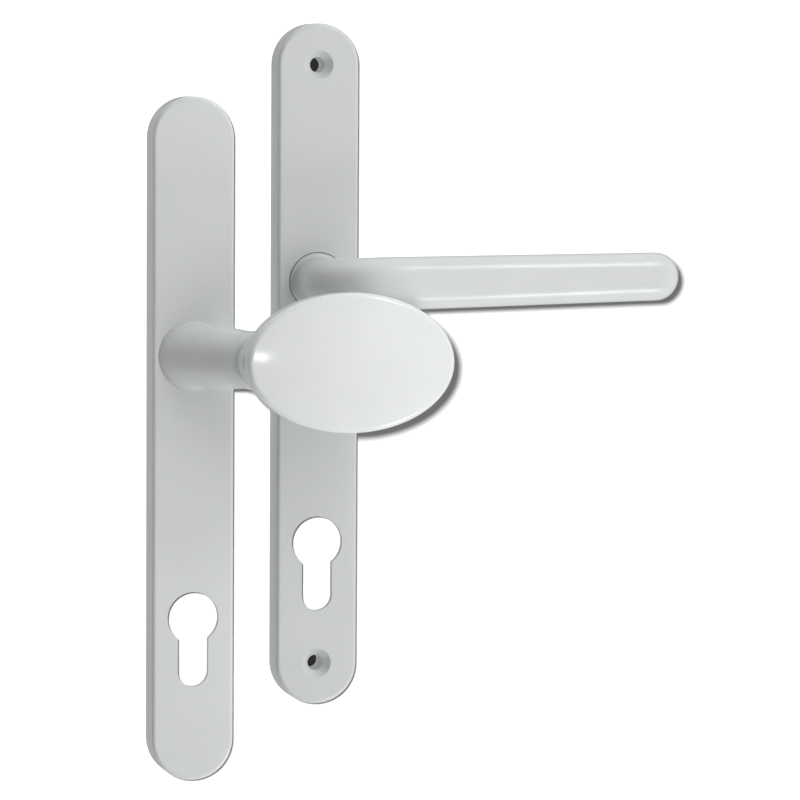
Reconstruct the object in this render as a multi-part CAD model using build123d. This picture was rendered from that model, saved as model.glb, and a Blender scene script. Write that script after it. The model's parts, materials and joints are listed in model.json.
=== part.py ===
"""Door handle pair for a multipoint lock: a lever on the inside plate, an offset pad on the outside plate.

The frame is the row's frame in millimetres: +Z up, +X right, the handles stand out towards -Y,
and both plates have their backs on the plane y = 0. The origin is midway between the lever
plate's two fixing holes, on that plane. Depths below are distances out from y = 0.
"""
import os
from math import cos, radians, sin, sqrt

from build123d import *

# Backplates
PLATE_HEIGHT = 240.0
PLATE_WIDTH = 29.0
PLATE_DEPTH = 11.5
PLATE_EDGE_RADIUS = 1.25
FACE_WALL = 2.6
SIDE_WALL = 2.4
RIB_WIDTH = 1.6
RIB_SET_BACK = 1.5

# Positions along the plate, from its middle
SPINDLE_Z = 29.5
CENTRES = 92.0
CYLINDER_Z = SPINDLE_Z - CENTRES
FIXING_SPACING = 211.0
PAD_PLATE_X = -44.6
PAD_PLATE_Z = -25.8

# Euro-profile cut-out
CYLINDER_RADIUS = 9.1
CYLINDER_SLOT = 10.9
CYLINDER_HEIGHT = 33.4

# Fixings
SCREW_HOLE_RADIUS = 2.7
COUNTERSINK_RADIUS = 5.2
FIXING_BOSS_RADIUS = 6.2
POST_RADIUS = 4.5
POST_BORE_RADIUS = 2.1
POST_LENGTH = 8.1

# Turning parts, shared by both handles
RUNNING_GAP = 0.08
SEAT_GAP = 0.05
SPIGOT_RADIUS = 7.5
SPIGOT_FLATS = 12.4
SOCKET_SIDE = 8.2
SOCKET_DEPTH = 22.0
FOOT_BACK = 9.15
BUSH_BACK = 8.15
CAM_FRONT = 3.4
CAM_THICKNESS = 1.0
SHIM_THICKNESS = 0.25
CIRCLIP_THICKNESS = 0.8
CIRCLIP_GROOVE_RADIUS = 6.75
SPIGOT_END = 0.3

# Spring and its housing
WIRE_RADIUS = 0.6
COIL_RADIUS = 8.75
COIL_PITCH = 1.27
LEG_CIRCLE = 9.85
LEG_ANGLE = 17.0
TAB_HALF_WIDTH = 2.0
HOUSING_INNER = 10.6
HOUSING_OUTER = 11.9
EAR_REACH = 17.4
EAR_SCREW_OFFSET = 14.6
EAR_BOSS_RADIUS = 2.5
EAR_HALF_WIDTH = 3.6
EAR_THICKNESS = 1.9
COVER_FRONT = 1.1
COVER_THICKNESS = 0.7
COVER_HOLE_RADIUS = 8.2
COVER_SCREW_RADIUS = 0.95

# Lever: round neck, quarter bend, tapered grip
LEVER_FOOT_RADIUS = 10.1
LEVER_GAP_RADIUS = 10.4
LEVER_BUSH_RADIUS = 10.95
LEVER_BUSH_FRONT = 10.7
LEVER_NECK_RADIUS = 8.8
LEVER_FLARE = 0.7
LEVER_REACH = 122.3
LEVER_RISE = 1.25
LEVER_BEND_RADIUS = 17.0
GRIP_AXIS_DEPTH = 43.0
GRIP_THICKNESS = 12.6
GRIP_HEIGHT = 18.5
GRIP_TIP_HEIGHT = 16.8
GRIP_TIP_LENGTH = 8.0
GRIP_CORNER = 6.0
ROUND = 0.49

# Pad: cranked neck under an oval knob
PAD_FOOT_RADIUS = 10.9
PAD_LIP_RADIUS = 12.4
PAD_LIP_HEIGHT = 0.5
PAD_NECK_RADIUS = 10.3
PAD_NECK_OFFSET = 18.2
PAD_NECK_CRANK_END = 47.4
PAD_OFFSET = 44.5
PAD_HALF_WIDTH = 36.4
PAD_HALF_HEIGHT = 24.0
PAD_BACK = 54.0
PAD_FRONT = 65.0
PAD_DOME_RADIUS = 220.0
PAD_FRONT_EDGE = 2.0
PAD_BACK_EDGE = 1.0


def place(plane_depth, x=0.0, z=0.0):
    """A plane facing the user (-Y) at the given distance out from the backs of the plates."""
    return Plane(origin=(x, -plane_depth, z), x_dir=(1, 0, 0), z_dir=(0, -1, 0))


def disc(radius, back, front, x=0.0, z=0.0):
    """A cylinder along Y between two depths."""
    return extrude(place(back, x, z) * Circle(radius), front - back)


def tube(outer, inner, back, front, x=0.0, z=0.0):
    return disc(outer, back, front, x, z) - disc(inner, back - 1, front + 1, x, z)


def block(width, height, back, front, x=0.0, z=0.0):
    return extrude(place(back, x, z) * Rectangle(width, height), front - back)


def euro_cut_out(back, front):
    """Round head over a narrower round-ended tail, as a lock cylinder's profile is."""
    tail_z = CYLINDER_Z + CYLINDER_RADIUS - CYLINDER_HEIGHT + CYLINDER_SLOT / 2
    head = disc(CYLINDER_RADIUS, back, front, z=CYLINDER_Z)
    tail = block(CYLINDER_SLOT, CYLINDER_Z - tail_z, back, front, z=(CYLINDER_Z + tail_z) / 2)
    return head + tail + disc(CYLINDER_SLOT / 2, back, front, z=tail_z)


def plate_shell():
    """Round-ended tray, open at the back, with its front edge rounded."""
    outline = Rot(Z=90) * SlotOverall(PLATE_HEIGHT, PLATE_WIDTH)
    body = extrude(place(0) * outline, PLATE_DEPTH)
    body = fillet(body.faces().sort_by(Axis.Y)[0].edges(), PLATE_EDGE_RADIUS)
    hollow = Rot(Z=90) * SlotOverall(PLATE_HEIGHT - 2 * SIDE_WALL, PLATE_WIDTH - 2 * SIDE_WALL)
    return body - extrude(place(0) * hollow, PLATE_DEPTH - FACE_WALL)


def plate(hole_radius):
    """Shell with cross ribs, fixing bosses, bosses for the cover screws, and its openings."""
    inner_face = PLATE_DEPTH - FACE_WALL
    body = plate_shell()
    inner_width = PLATE_WIDTH - 2 * SIDE_WALL
    for rib_z in (83.0, 60.0, 1.0, -24.0, CYLINDER_Z + 15.0, CYLINDER_Z - 28.0):
        body += block(inner_width + 1, RIB_WIDTH, RIB_SET_BACK, inner_face + 0.5, z=rib_z)
    for side in (1, -1):
        body += disc(FIXING_BOSS_RADIUS, 0, inner_face + 0.5, z=side * FIXING_SPACING / 2)
        screw_z = SPINDLE_Z + side * EAR_SCREW_OFFSET
        body += disc(EAR_BOSS_RADIUS, COVER_FRONT + EAR_THICKNESS + SEAT_GAP, inner_face + 0.5, z=screw_z)
        body -= disc(COVER_SCREW_RADIUS, 0, inner_face - 0.4, z=screw_z)
    body -= disc(hole_radius, inner_face - 0.1, PLATE_DEPTH + 1, z=SPINDLE_Z)
    return body - euro_cut_out(-1, PLATE_DEPTH + 1)


def lever_plate():
    """Inside plate: a thin front lip hides the bush, and two countersunk holes take the screws."""
    body = plate(LEVER_GAP_RADIUS)
    body -= disc(LEVER_BUSH_RADIUS, PLATE_DEPTH - FACE_WALL - 1, LEVER_BUSH_FRONT, z=SPINDLE_Z)
    sink_depth = COUNTERSINK_RADIUS - SCREW_HOLE_RADIUS
    for side in (1, -1):
        z = side * FIXING_SPACING / 2
        body -= disc(SCREW_HOLE_RADIUS, -1, PLATE_DEPTH + 1, z=z)
        sink = Cone(SCREW_HOLE_RADIUS, COUNTERSINK_RADIUS, sink_depth)
        body -= place(PLATE_DEPTH - sink_depth / 2, z=z) * sink
    return body


def pad_plate():
    body = plate(PAD_LIP_RADIUS + SEAT_GAP)
    for side in (1, -1):
        body -= disc(POST_RADIUS + SEAT_GAP, -1, POST_LENGTH + SEAT_GAP, z=side * FIXING_SPACING / 2)
    return body


def fixing_posts():
    """Threaded steel posts that take the screws coming through the door."""
    posts = []
    for side in (1, -1):
        post = tube(POST_RADIUS, POST_BORE_RADIUS, 0, POST_LENGTH, z=side * FIXING_SPACING / 2)
        mouth = post.faces().sort_by(Axis.Y)[-1].edges().sort_by(SortBy.RADIUS)[0]
        posts.append(chamfer(mouth, 0.4))
    return Compound(posts)


def lever_bush():
    """Flanged bush, pushed in from behind against the plate's front lip."""
    barrel = tube(LEVER_BUSH_RADIUS - SEAT_GAP, LEVER_FOOT_RADIUS + RUNNING_GAP, BUSH_BACK,
                  LEVER_BUSH_FRONT - SEAT_GAP, z=SPINDLE_Z)
    return barrel + bush_flange()


def pad_bush():
    """Bush whose rounded lip stands just proud of the plate."""
    lip = tube(PAD_LIP_RADIUS, PAD_FOOT_RADIUS + RUNNING_GAP, PLATE_DEPTH - FACE_WALL,
               PLATE_DEPTH + PAD_LIP_HEIGHT, z=SPINDLE_Z)
    rims = lip.faces().sort_by(Axis.Y)[0].edges().sort_by(SortBy.RADIUS)
    lip = fillet(rims, 0.45)
    barrel = tube(HOUSING_OUTER, PAD_FOOT_RADIUS + RUNNING_GAP, BUSH_BACK, PLATE_DEPTH, z=SPINDLE_Z)
    return lip + barrel + bush_flange()


def bush_flange():
    return tube(HOUSING_OUTER, SPIGOT_RADIUS + RUNNING_GAP, BUSH_BACK, PLATE_DEPTH - FACE_WALL - SEAT_GAP / 2,
                z=SPINDLE_Z)


def spigot():
    """The handle's shank behind its foot: flats for the cam, and a groove for the circlip."""
    shank = disc(SPIGOT_RADIUS, SPIGOT_END, FOOT_BACK + 1, z=SPINDLE_Z)
    flats = block(SPIGOT_FLATS, 4 * SPIGOT_RADIUS, SPIGOT_END - 1, CAM_FRONT + SEAT_GAP, z=SPINDLE_Z)
    keep = flats + block(40, 40, CAM_FRONT + SEAT_GAP, FOOT_BACK + 2, z=SPINDLE_Z)
    groove_front = CAM_FRONT - CAM_THICKNESS - SHIM_THICKNESS - SEAT_GAP
    groove = tube(SPIGOT_RADIUS + 1, CIRCLIP_GROOVE_RADIUS, groove_front - CIRCLIP_THICKNESS - SEAT_GAP,
                  groove_front, z=SPINDLE_Z)
    return (shank & keep) - groove


def socket():
    """Square hole for the spindle bar, open at the back."""
    return block(SOCKET_SIDE, SOCKET_SIDE, -1, SOCKET_DEPTH, z=SPINDLE_Z)


def grip_section(x, height, thickness):
    """Rounded rectangle across the lever at one distance from the spindle."""
    corner = min(GRIP_CORNER, ROUND * min(height, thickness))
    plane = Plane(origin=(x, -GRIP_AXIS_DEPTH, SPINDLE_Z), x_dir=(0, -1, 0), z_dir=(1, 0, 0))
    return plane * RectangleRounded(thickness, height, corner)


def bend_section(turn, height, thickness, corner):
    """Section across the bend, turned by an angle from the neck towards the grip."""
    a = radians(turn)
    x = LEVER_BEND_RADIUS * (1 - cos(a))
    depth = GRIP_AXIS_DEPTH - LEVER_BEND_RADIUS * (1 - sin(a))
    plane = Plane(origin=(x, -depth, SPINDLE_Z), x_dir=(-cos(a), -sin(a), 0), z_dir=(sin(a), -cos(a), 0))
    return plane * RectangleRounded(thickness, height, corner)


def lever_arm():
    """Neck, bend, grip and rounded tip as one skin through its sections."""
    neck_side = 2 * LEVER_NECK_RADIUS
    round_corner = ROUND * neck_side
    sections = []
    for rise, flare in ((0.0, 1.0), (0.5, 0.45), (1.1, 0.1), (2.0, 0.0), (4.0, 0.0), (9.0, 0.0)):
        side = neck_side + 2 * LEVER_FLARE * flare
        outline = RectangleRounded(side, side, ROUND * side)
        sections.append(place(PLATE_DEPTH + 0.2 + rise, z=SPINDLE_Z) * outline)
    for step in range(5):
        blend = step / 4
        height = neck_side + (GRIP_HEIGHT - neck_side) * blend
        thickness = neck_side + (GRIP_THICKNESS - neck_side) * blend
        corner = round_corner + (GRIP_CORNER - round_corner) * blend
        sections.append(bend_section(90 * blend, height, thickness, min(corner, ROUND * thickness)))
    tip_start = LEVER_REACH - GRIP_TIP_LENGTH
    for blend in (0.1, 0.3, 0.55, 0.75, 0.88, 0.95, 1.0):
        x = LEVER_BEND_RADIUS + (tip_start - LEVER_BEND_RADIUS) * blend
        sections.append(grip_section(x, GRIP_HEIGHT + (GRIP_TIP_HEIGHT - GRIP_HEIGHT) * blend, GRIP_THICKNESS))
    for fraction in (0.2, 0.4, 0.6, 0.78, 0.9, 0.97, 0.995):
        shrink = sqrt(1 - fraction ** 2)
        sections.append(grip_section(tip_start + GRIP_TIP_LENGTH * fraction, GRIP_TIP_HEIGHT * shrink,
                                     GRIP_THICKNESS * shrink ** 0.8))
    return loft(sections)


def lever_handle():
    foot = disc(LEVER_FOOT_RADIUS, FOOT_BACK, PLATE_DEPTH + 0.4, z=SPINDLE_Z)
    foot = fillet(foot.faces().sort_by(Axis.Y)[0].edges(), 0.3)
    arm = lever_arm().rotate(Axis((0, 0, SPINDLE_Z), (0, -1, 0)), LEVER_RISE)
    return spigot() + foot + arm - socket()


def pad_knob():
    """Oval knob: a thick ellipse under an ellipsoid's dome, with rounded edges front and back."""
    outline = place(PAD_BACK, PAD_OFFSET, SPINDLE_Z) * Ellipse(PAD_HALF_WIDTH, PAD_HALF_HEIGHT)
    ball = scale(Sphere(PAD_DOME_RADIUS), by=(1, PAD_HALF_HEIGHT / PAD_HALF_WIDTH, 1))
    dome = place(PAD_FRONT - PAD_DOME_RADIUS, PAD_OFFSET, SPINDLE_Z) * ball
    knob = extrude(outline, PAD_FRONT - PAD_BACK) & dome
    knob = fillet(knob.faces().sort_by(Axis.Y)[0].edges(), PAD_FRONT_EDGE)
    return fillet(knob.faces().sort_by(Axis.Y)[-1].edges(), PAD_BACK_EDGE)


def pad_neck():
    """Cranked neck, round in every plane parallel to the plate, with a straight end under the knob."""
    root = PLATE_DEPTH + PAD_LIP_HEIGHT + RUNNING_GAP
    sections = []
    for along, radius in ((0.0, 1.165), (0.04, 1.17), (0.12, 1.12), (0.3, 1.04), (0.6, 1.0), (0.85, 1.0), (1.0, 1.0)):
        plane = place(root + (PAD_NECK_CRANK_END - root) * along, PAD_NECK_OFFSET * along, SPINDLE_Z)
        sections.append(plane * Circle(PAD_NECK_RADIUS * radius))
    return loft(sections) + disc(PAD_NECK_RADIUS, PAD_NECK_CRANK_END, PAD_BACK + 1, PAD_NECK_OFFSET, SPINDLE_Z)


def pad_handle():
    foot = disc(PAD_FOOT_RADIUS, FOOT_BACK, PLATE_DEPTH + 1, z=SPINDLE_Z)
    return spigot() + foot + pad_neck() + pad_knob() - socket()


def ear_outline(reach, half_width, radius):
    """A round body with an ear above and below it, for the two cover screws."""
    ears = SlotOverall(2 * reach, 2 * half_width, rotation=90)
    return Circle(radius) + ears


def spring_housing():
    """Nylon ring with two screw ears, and the fixed stop between the spring's legs."""
    front = BUSH_BACK - SEAT_GAP
    ring = tube(HOUSING_OUTER, HOUSING_INNER, COVER_FRONT + SEAT_GAP, front, z=SPINDLE_Z)
    ears = extrude(place(COVER_FRONT + SEAT_GAP, z=SPINDLE_Z) * ear_outline(EAR_REACH, EAR_HALF_WIDTH, 1),
                   EAR_THICKNESS - SEAT_GAP)
    body = ring + (ears - disc(HOUSING_INNER, 0, PLATE_DEPTH, z=SPINDLE_Z))
    stop_middle = SPINDLE_Z + (LEG_CIRCLE - 0.5 + HOUSING_INNER + 0.3) / 2
    stop_height = HOUSING_INNER + 0.3 - (LEG_CIRCLE - 0.5)
    body += block(2 * TAB_HALF_WIDTH, stop_height, front - 1.45, front, z=stop_middle)
    for side in (1, -1):
        body -= disc(COVER_SCREW_RADIUS + 0.1, 0, PLATE_DEPTH, z=SPINDLE_Z + side * EAR_SCREW_OFFSET)
    return body


def return_spring():
    """Two and a half turns of round wire, with an upright leg at each end beside the stop."""
    back = CAM_FRONT + WIRE_RADIUS + 0.05
    start = Vector(COIL_RADIUS, 0, 0)
    turns = 2 + (180 - 2 * LEG_ANGLE) / 360
    coil_path = Helix(pitch=COIL_PITCH, height=COIL_PITCH * turns, radius=COIL_RADIUS)
    coil = sweep(Plane(origin=start, z_dir=coil_path % 0) * Circle(WIRE_RADIUS), coil_path)
    coil = place(back, z=SPINDLE_Z) * (Rot(Z=90 + LEG_ANGLE) * coil)
    legs = []
    for side in (1, -1):
        angle = radians(90 + side * LEG_ANGLE)
        legs.append(disc(WIRE_RADIUS, CAM_FRONT + 0.05, BUSH_BACK - 0.1, x=LEG_CIRCLE * cos(angle),
                         z=SPINDLE_Z + LEG_CIRCLE * sin(angle)))
    return coil, legs


def spring_cam():
    """Washer keyed on the spigot's flats, with a tab bent between the spring's legs."""
    back = CAM_FRONT - CAM_THICKNESS
    body = disc(LEG_CIRCLE - 0.65, back, CAM_FRONT, z=SPINDLE_Z)
    reach = HOUSING_INNER - 0.2
    tab_low = LEG_CIRCLE - 0.4
    body += block(2 * TAB_HALF_WIDTH, reach - 6, back, CAM_FRONT, z=SPINDLE_Z + (reach + 6) / 2)
    body += block(2 * TAB_HALF_WIDTH, reach - tab_low, back, CAM_FRONT + 1.5,
                  z=SPINDLE_Z + (reach + tab_low) / 2)
    hole = disc(SPIGOT_RADIUS + SEAT_GAP, 0, PLATE_DEPTH, z=SPINDLE_Z)
    hole &= block(SPIGOT_FLATS + 2 * SEAT_GAP, 40, 0, PLATE_DEPTH, z=SPINDLE_Z)
    return body - hole


def shim_washer():
    front = CAM_FRONT - CAM_THICKNESS - SEAT_GAP / 2
    return tube(9.0, SPIGOT_RADIUS + SEAT_GAP, front - SHIM_THICKNESS + SEAT_GAP / 2, front, z=SPINDLE_Z)


def circlip():
    """Open ring in the spigot's groove, with an eye at each end for the pliers."""
    front = CAM_FRONT - CAM_THICKNESS - SHIM_THICKNESS - 2 * SEAT_GAP
    back = front - CIRCLIP_THICKNESS + SEAT_GAP
    ring = tube(8.7, CIRCLIP_GROOVE_RADIUS + SEAT_GAP, back, front, z=SPINDLE_Z)
    ring -= block(4.0, 12, 0, PLATE_DEPTH, z=SPINDLE_Z - 9)
    for side in (1, -1):
        x, z = side * 3.1, SPINDLE_Z - 8.3
        ring += disc(1.5, back, front, x=x, z=z) - disc(9.0, 0, PLATE_DEPTH, z=SPINDLE_Z + 1.9)
        ring -= disc(0.6, 0, PLATE_DEPTH, x=x, z=z - 0.3)
    return ring


def housing_cover():
    """Pressed steel lid over the spring, open in the middle for the spigot."""
    outline = ear_outline(EAR_REACH, EAR_HALF_WIDTH, HOUSING_OUTER)
    body = extrude(place(COVER_FRONT - COVER_THICKNESS, z=SPINDLE_Z) * outline, COVER_THICKNESS)
    body -= disc(COVER_HOLE_RADIUS, -1, PLATE_DEPTH, z=SPINDLE_Z)
    for side in (1, -1):
        body -= disc(COVER_SCREW_RADIUS + 0.1, -1, PLATE_DEPTH, z=SPINDLE_Z + side * EAR_SCREW_OFFSET)
    return body


def cover_screws():
    """Two pan-head screws with a cross recess."""
    screws = []
    head_front = COVER_FRONT - COVER_THICKNESS - 0.02
    for side in (1, -1):
        z = SPINDLE_Z + side * EAR_SCREW_OFFSET
        screw = disc(COVER_SCREW_RADIUS - 0.05, head_front, PLATE_DEPTH - FACE_WALL - 0.6, z=z)
        screw += disc(1.9, 0.02, head_front, z=z)
        screw -= block(1.8, 0.4, 0, 0.26, z=z) + block(0.4, 1.8, 0, 0.26, z=z)
        screws.append(screw)
    return Compound(screws)


def write(name, shape, on_pad_side):
    """Save one node, moved to the pad plate's place where it belongs there."""
    if on_pad_side:
        shape = Pos(PAD_PLATE_X, 0, PAD_PLATE_Z) * shape
    shape.label = name
    export_step(shape, f"parts/{name}.step")


def main():
    os.makedirs("parts", exist_ok=True)
    write("lever_plate", lever_plate(), False)
    write("lever_bush", lever_bush(), False)
    write("lever_handle", lever_handle(), False)
    write("pad_plate", pad_plate(), True)
    write("pad_bush", pad_bush(), True)
    write("pad_handle", pad_handle(), True)
    write("pad_fixing_posts", fixing_posts(), True)
    coil, legs = return_spring()
    shared = {
        "spring_housing": spring_housing(),
        "return_spring": Compound([coil] + legs),
        "spring_cam": spring_cam(),
        "shim_washer": shim_washer(),
        "circlip": circlip(),
        "housing_cover": housing_cover(),
        "cover_screws": cover_screws(),
    }
    for name, shape in shared.items():
        write(f"lever_{name}", shape, False)
        write(f"pad_{name}", shape, True)


main()
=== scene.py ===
"""Looks for the white door handle pair: fine materials, soft studio light and the camera."""
import json
from math import cos, radians, sin

import bpy
from mathutils import Matrix, Vector

# Camera: distance from its target, direction in degrees, and the width seen at the target
CAMERA_DISTANCE = 1.5
CAMERA_AZIMUTH = -14.8
CAMERA_ELEVATION = 3.9
CAMERA_ROLL = 0.32
CAMERA_TARGET = (0.0304, -0.010, -0.0127)
VIEW_WIDTH = 0.2835
SENSOR_WIDTH = 36.0

# Light tent: one even strength, and how it changes with the direction
TENT_EVEN = 0.20
TENT_SIDES = 0.12
TENT_VERTICAL = 1.0
TENT_DIAGONAL = -0.6
TENT_RIGHT = 0.12
TENT_BEHIND = 0.12
TENT_COLOUR = (0.975, 1.0, 0.995, 1)

# White sheet behind the handles: how far it reaches, how much light it returns, and its own glow
BACKDROP_Y = 0.0004
BACKDROP_REACH = 0.35
SHEET_PAPER, SHEET_GLOW = 0.1, 0.12
# Dark discs on the sheet behind the screw holes, painted shade for the dark bores: radius, how much light
# they return, glow, and the step of their outline
SHADE_DISC_RADIUS = 0.0038
SHADE_DISC_PAPER, SHADE_DISC_GLOW = 0.02, 0.02
SHADE_DISC_STEP_DEGREES = 15

# Lamps: size in metres, power in watts, place, and the point that each is aimed at
MIDDLE = (0, -0.03, 0)
SOFTBOX = ((0.24, 0.44), 0.61, (0.11, -0.44, 0.02), (0, -0.03, -0.03))
UPPER_LAMP = ((0.06, 0.2), 0.42, (0.22, -0.40, 0.36), MIDDLE)
LOWER_LAMP = ((0.06, 0.2), 0.47, (0.245, -0.40, -0.34), MIDDLE)
PAD_LAMP = ((0.03, 0.03), 0.25, (-0.10, -1.0, 0.0), MIDDLE)

# The lamp for the sheet alone: power, radius, and where it is from the camera
SHEET_LAMP_POWER = 1000
SHEET_LAMP_RADIUS = 0.034
SHEET_LAMP_OFFSET = (-0.06, 0, 0.055)

# Surface detail: noise scales per metre, and the height of the bump in metres
MOTTLE_SCALE = 45.0
GLOSS_SCALE = 220.0
PEEL_SCALE = 650.0
PLAIN_MOTTLE_SCALE = 120.0
PLAIN_GLOSS_SCALE = 400.0
GRAIN_SCALE = 900.0
BUMP_HEIGHT = 0.00002
PLAIN_GLOSS_SPREAD = 0.15
COAT_WEIGHT = 0.8
NOISE_ROUGHNESS = 0.55
NOISE_LOW, NOISE_HIGH = 0.3, 0.7

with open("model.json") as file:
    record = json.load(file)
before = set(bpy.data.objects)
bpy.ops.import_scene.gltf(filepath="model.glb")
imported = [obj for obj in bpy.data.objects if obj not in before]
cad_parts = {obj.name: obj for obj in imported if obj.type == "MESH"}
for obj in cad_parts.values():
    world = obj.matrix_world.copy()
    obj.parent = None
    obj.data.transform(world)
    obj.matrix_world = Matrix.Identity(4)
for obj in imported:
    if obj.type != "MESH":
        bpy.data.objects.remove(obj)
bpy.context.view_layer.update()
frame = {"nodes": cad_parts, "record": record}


def new_material(name):
    """A material with its shader node and node tree ready to be linked."""
    material = bpy.data.materials.new(name)
    material.use_nodes = True
    tree = material.node_tree
    return material, tree, tree.nodes["Principled BSDF"]


def node(tree, kind, **settings):
    made = tree.nodes.new(kind)
    for key, value in settings.items():
        setattr(made, key, value)
    return made


def maths(tree, operation, *values):
    """A maths node fed by sockets or plain numbers."""
    made = node(tree, "ShaderNodeMath", operation=operation)
    for socket, value in zip(made.inputs, values):
        if isinstance(value, (int, float)):
            socket.default_value = value
        else:
            tree.links.new(value, socket)
    return made.outputs[0]


def noise(tree, coords, scale, detail=3.0):
    made = node(tree, "ShaderNodeTexNoise")
    made.inputs["Scale"].default_value = scale
    made.inputs["Detail"].default_value = detail
    made.inputs["Roughness"].default_value = NOISE_ROUGHNESS
    tree.links.new(coords, made.inputs["Vector"])
    return made.outputs["Fac"]


def spread(tree, value, low, high):
    """Map a noise value onto a small range."""
    made = node(tree, "ShaderNodeMapRange")
    made.inputs["From Min"].default_value = NOISE_LOW
    made.inputs["From Max"].default_value = NOISE_HIGH
    made.inputs["To Min"].default_value = low
    made.inputs["To Max"].default_value = high
    tree.links.new(value, made.inputs["Value"])
    return made.outputs["Result"]


def tint(tree, fac, dark, light):
    made = node(tree, "ShaderNodeMix", data_type="RGBA")
    made.inputs["A"].default_value = (*dark, 1)
    made.inputs["B"].default_value = (*light, 1)
    tree.links.new(fac, made.inputs["Factor"])
    return made.outputs["Result"]


def bump(tree, shader, height):
    made = node(tree, "ShaderNodeBump")
    made.inputs["Strength"].default_value = 1.0
    made.inputs["Distance"].default_value = BUMP_HEIGHT
    tree.links.new(height, made.inputs["Height"])
    tree.links.new(made.outputs["Normal"], shader.inputs["Normal"])


def white_powder_coat(name, dark, light, coat_roughness):
    """Satin-gloss white coat: faint mottling, orange peel, and a slightly uneven gloss."""
    material, tree, shader = new_material(name)
    coords = node(tree, "ShaderNodeTexCoord").outputs["Object"]
    mottle = spread(tree, noise(tree, coords, MOTTLE_SCALE), 0.0, 1.0)
    tree.links.new(tint(tree, mottle, dark, light), shader.inputs["Base Color"])
    tree.links.new(spread(tree, noise(tree, coords, GLOSS_SCALE), 0.34, 0.42), shader.inputs["Roughness"])
    shader.inputs["Coat Weight"].default_value = COAT_WEIGHT
    shader.inputs["Coat Roughness"].default_value = coat_roughness
    bump(tree, shader, noise(tree, coords, PEEL_SCALE, detail=2.0))
    return material


def plain(name, dark, light, roughness, metallic=0.0):
    """Colour between two shades, with a fine surface grain."""
    material, tree, shader = new_material(name)
    coords = node(tree, "ShaderNodeTexCoord").outputs["Object"]
    mottle = spread(tree, noise(tree, coords, PLAIN_MOTTLE_SCALE), 0.0, 1.0)
    tree.links.new(tint(tree, mottle, dark, light), shader.inputs["Base Color"])
    uneven = spread(tree, noise(tree, coords, PLAIN_GLOSS_SCALE), roughness * (1 - PLAIN_GLOSS_SPREAD),
                    roughness * (1 + PLAIN_GLOSS_SPREAD))
    tree.links.new(uneven, shader.inputs["Roughness"])
    shader.inputs["Metallic"].default_value = metallic
    bump(tree, shader, noise(tree, coords, GRAIN_SCALE))
    return material


MATERIALS = {
    "white_coat": white_powder_coat("white_powder_coat", (0.80, 0.815, 0.81), (0.83, 0.845, 0.84), 0.13),
    "white_nylon": plain("white_acetal", (0.78, 0.79, 0.78), (0.83, 0.83, 0.82), 0.35),
    "grey_nylon": plain("dark_nylon", (0.03, 0.03, 0.032), (0.045, 0.045, 0.048), 0.5),
    "spring_steel": plain("spring_wire", (0.30, 0.30, 0.31), (0.38, 0.38, 0.39), 0.32, 1.0),
    "zinc_plate": plain("zinc_plated_steel", (0.60, 0.61, 0.63), (0.72, 0.73, 0.74), 0.3, 1.0),
    "black_steel": plain("phosphated_steel", (0.03, 0.03, 0.032), (0.06, 0.06, 0.06), 0.45, 0.6),
}

# The lever and its plate get a darker copy of the same white coat, painted shade for the dimmer light on
# them, and a less glossy one
SHADED_COAT_COPY = white_powder_coat("painted_shade_powder_coat", (0.70, 0.715, 0.71), (0.73, 0.745, 0.74), 0.24)
PAINTED_SHADE_NODES = ("lever_plate", "lever_handle")


def coat_cad_nodes():
    """Give every CAD node the material of its slot, or the darker copy of the coat that paints shade on the
    lever and its plate.
    """
    for part in frame["record"]["subparts"]:
        name = part["node"]
        for slot in frame["nodes"][name].material_slots:
            slot.material = SHADED_COAT_COPY if name in PAINTED_SHADE_NODES else MATERIALS[part["material_slot"]]


def linking(state, thing):
    """A light-linking collection of one object, to light it alone or to leave it out."""
    name = f"{thing.name}_{state.lower()}"
    made = bpy.data.collections.get(name)
    if made is None:
        made = bpy.data.collections.new(name)
        made.objects.link(thing)
        made.collection_objects[0].light_linking.link_state = state
    return made


def lamp_object(name, data, position):
    lamp = bpy.data.objects.new(name, data)
    bpy.context.scene.collection.objects.link(lamp)
    lamp.location = position
    return lamp


def area_light(name, size, power, position, target):
    """A soft lamp, round or oblong, aimed at a point, that leaves the backdrop alone."""
    data = bpy.data.lights.new(name, "AREA")
    data.shape = "ELLIPSE"
    data.size, data.size_y = size
    data.energy = power
    lamp = lamp_object(name, data, position)
    lamp.rotation_euler = (Vector(target) - Vector(position)).to_track_quat("-Z", "Y").to_euler()
    lamp.light_linking.receiver_collection = linking("EXCLUDE", bpy.data.objects["backdrop"])
    return lamp


def one_sided(name, paper, glow):
    """A matt colour with a glow of its own, clear when it is looked at from behind."""
    material, tree, shader = new_material(name)
    tree.nodes.remove(shader)
    matt = node(tree, "ShaderNodeBsdfDiffuse")
    matt.inputs["Color"].default_value = (paper, paper, paper, 1)
    shine = node(tree, "ShaderNodeEmission")
    shine.inputs["Strength"].default_value = glow
    both = node(tree, "ShaderNodeAddShader")
    tree.links.new(matt.outputs[0], both.inputs[0])
    tree.links.new(shine.outputs[0], both.inputs[1])
    side = node(tree, "ShaderNodeNewGeometry")
    mix = node(tree, "ShaderNodeMixShader")
    tree.links.new(side.outputs["Backfacing"], mix.inputs[0])
    tree.links.new(both.outputs[0], mix.inputs[1])
    tree.links.new(node(tree, "ShaderNodeBsdfTransparent").outputs[0], mix.inputs[2])
    tree.links.new(mix.outputs[0], tree.nodes["Material Output"].inputs["Surface"])
    return material


def staged(name, corners, material):
    """A flat sheet that the camera alone sees, so it neither lights nor shades the handles."""
    mesh = bpy.data.meshes.new(name)
    mesh.from_pydata(corners, [], [range(len(corners))])
    mesh.materials.append(material)
    sheet = bpy.data.objects.new(name, mesh)
    bpy.context.scene.collection.objects.link(sheet)
    sheet.visible_diffuse = sheet.visible_glossy = sheet.visible_shadow = sheet.visible_transmission = False


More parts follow.
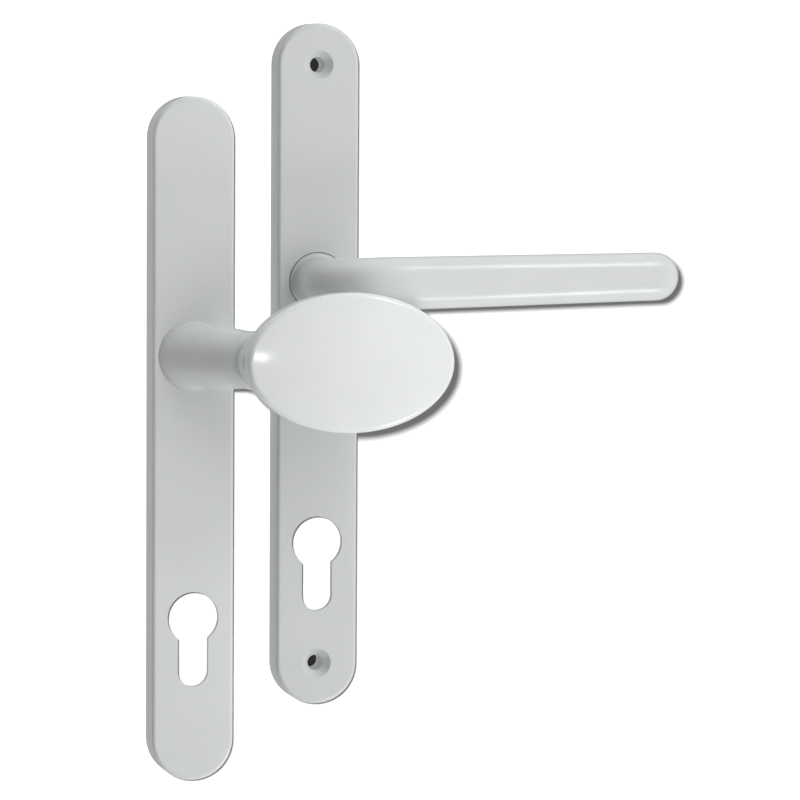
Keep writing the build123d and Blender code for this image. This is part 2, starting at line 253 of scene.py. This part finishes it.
def backdrop():
    """White sheet just behind the plates that takes the soft shadows, with a dark disc of painted shade
    behind each screw hole.
    """
    far = BACKDROP_REACH
    corners = [(x, BACKDROP_Y, z) for x, z in ((-far, -far), (far, -far), (far, far), (-far, far))]
    staged("backdrop", corners, one_sided("white_sheet", SHEET_PAPER, SHEET_GLOW))
    # Painted shade: dark discs on the sheet behind the two screw holes
    dark = one_sided("painted_shade_disc", SHADE_DISC_PAPER, SHADE_DISC_GLOW)
    bolts = next(mount for mount in frame["record"]["mounts"] if mount["name"] == "lever_bolts")
    half = bolts["dims"]["spacing_y_mm"] / 2000
    for name, height in (("painted_shade_disc_upper", half), ("painted_shade_disc_lower", -half)):
        ring = [(SHADE_DISC_RADIUS * cos(turn), BACKDROP_Y / 2, height + SHADE_DISC_RADIUS * sin(turn))
                for turn in (radians(angle) for angle in range(0, 360, SHADE_DISC_STEP_DEGREES))]
        staged(name, ring, dark)


def world_light():
    """A light tent, dim in front and dimmest at the front left, that is plain white to the camera."""
    world = bpy.data.worlds.new("studio")
    bpy.context.scene.world = world
    world.use_nodes = True
    tree = world.node_tree
    tent = tree.nodes["Background"]
    direction = node(tree, "ShaderNodeSeparateXYZ")
    tree.links.new(node(tree, "ShaderNodeTexCoord").outputs["Generated"], direction.inputs[0])
    x, y, z = (direction.outputs[axis] for axis in "XYZ")
    xx, zz, xy = (maths(tree, "MULTIPLY", *pair) for pair in ((x, x), (z, z), (x, y)))
    strength = TENT_EVEN
    for term, times in ((xx, TENT_SIDES), (zz, TENT_VERTICAL), (xy, TENT_DIAGONAL), (x, TENT_RIGHT),
                        (y, TENT_BEHIND)):
        strength = maths(tree, "MULTIPLY_ADD", term, times, strength)
    tree.links.new(strength, tent.inputs["Strength"])
    tent.inputs["Color"].default_value = TENT_COLOUR
    seen = node(tree, "ShaderNodeLightPath")
    mix = node(tree, "ShaderNodeMixShader")
    tree.links.new(seen.outputs["Is Camera Ray"], mix.inputs[0])
    tree.links.new(tent.outputs[0], mix.inputs[1])
    white = node(tree, "ShaderNodeBackground")
    white.inputs["Color"].default_value = (1, 1, 1, 1)
    tree.links.new(white.outputs[0], mix.inputs[2])
    tree.links.new(mix.outputs[0], tree.nodes["World Output"].inputs["Surface"])


def studio():
    """Tent, a near softbox that isn't mirrored, two lamps that streak the lever, and one for the pad."""
    backdrop()
    world_light()
    area_light("near_softbox", *SOFTBOX).visible_glossy = False
    area_light("upper_lamp", *UPPER_LAMP)
    area_light("lower_lamp", *LOWER_LAMP)
    pad_lamp = area_light("pad_lamp", *PAD_LAMP)
    pad_lamp.light_linking.receiver_collection = linking("INCLUDE", frame["nodes"]["pad_handle"])


def backdrop_lamp():
    """A lamp just above and left of the camera that lights the backdrop alone, for tight soft shadows."""
    data = bpy.data.lights.new("backdrop_lamp", "POINT")
    data.energy = SHEET_LAMP_POWER
    data.shadow_soft_size = SHEET_LAMP_RADIUS
    lamp = lamp_object("backdrop_lamp", data, bpy.context.scene.camera.location + Vector(SHEET_LAMP_OFFSET))
    lamp.light_linking.receiver_collection = linking("INCLUDE", bpy.data.objects["backdrop"])


def camera():
    data = bpy.data.cameras.new("camera")
    data.sensor_width = SENSOR_WIDTH
    data.lens = SENSOR_WIDTH * CAMERA_DISTANCE / VIEW_WIDTH
    cam = bpy.data.objects.new("camera", data)
    bpy.context.scene.collection.objects.link(cam)
    bpy.context.scene.camera = cam
    target = Vector(CAMERA_TARGET)
    around = Matrix.Rotation(radians(CAMERA_AZIMUTH), 3, "Z")
    up = Matrix.Rotation(-radians(CAMERA_ELEVATION), 3, "X")
    back = around @ up @ Vector((0, -1, 0))
    cam.location = target + back * CAMERA_DISTANCE
    aim = (-back).to_track_quat("-Z", "Y").to_matrix()
    cam.rotation_euler = (aim @ Matrix.Rotation(radians(CAMERA_ROLL), 3, "Z")).to_euler()


coat_cad_nodes()
studio()
camera()
backdrop_lamp()
bpy.context.scene.view_settings.view_transform = "Standard"
